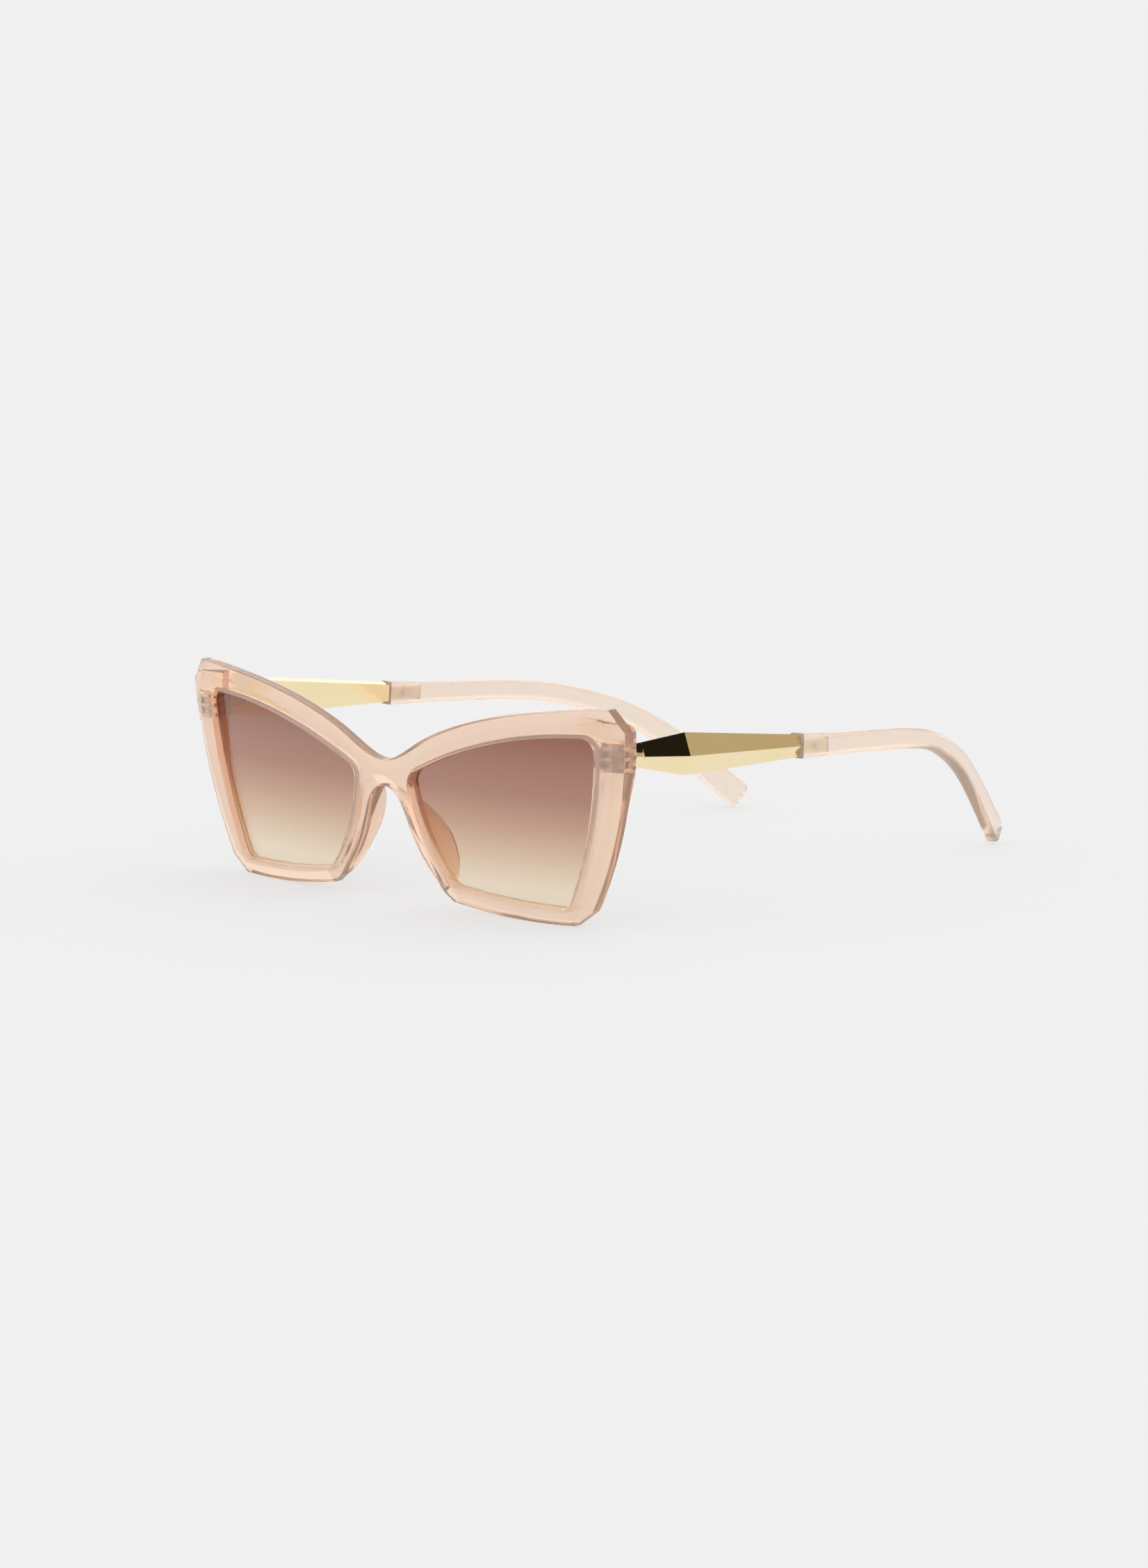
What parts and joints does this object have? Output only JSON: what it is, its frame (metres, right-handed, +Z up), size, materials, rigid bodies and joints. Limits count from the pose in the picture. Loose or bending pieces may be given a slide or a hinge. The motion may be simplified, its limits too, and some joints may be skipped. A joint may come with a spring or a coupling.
{
  "type": "cat eye sunglasses",
  "caption": "Cat eye sunglasses with a translucent faceted front, gradient lenses, metal temple arms with plastic tips, and temples that fold on screw hinges.",
  "frame": {"origin": "middle of the floor that the open glasses stand on, under the centre of their box", "axes": "+Z up, the front faces -Y, +X towards the temple on the right as seen from the front"},
  "size_m": [0.1472, 0.1539, 0.0485],
  "materials": {
    "front_plastic": "translucent blush, polished",
    "tip_plastic": "translucent blush, polished",
    "gradient_lens": "brown gradient, polished",
    "gold_metal": "pale gold plate, mirror polished",
    "hinge_metal": "satin",
    "screw_metal": "satin"
  },
  "bodies": {
    "front": {"front_frame": "front_plastic", "lens_left": "gradient_lens", "lens_right": "gradient_lens", "front_hinge_leaf_left": "hinge_metal", "front_hinge_leaf_right": "hinge_metal", "hinge_screw_left": "screw_metal", "hinge_screw_right": "screw_metal"},
    "right_temple": {"temple_arm_right": "gold_metal", "temple_hinge_leaf_right": "hinge_metal", "temple_tip_right": "tip_plastic", "tip_screw_right": "screw_metal"},
    "left_temple": {"temple_arm_left": "gold_metal", "temple_hinge_leaf_left": "hinge_metal", "temple_tip_left": "tip_plastic", "tip_screw_left": "screw_metal"}
  },
  "joints": [
    {"name": "right_temple_fold", "type": "hinge", "parent": "front", "child": "right_temple", "pos_m": [0.066, -0.06479, 0.038], "axis": [0, 0, 1], "range_deg": [0, 80]},
    {"name": "left_temple_fold", "type": "hinge", "parent": "front", "child": "left_temple", "pos_m": [-0.066, -0.06479, 0.038], "axis": [0, 0, -1], "range_deg": [0, 70]}
  ]
}
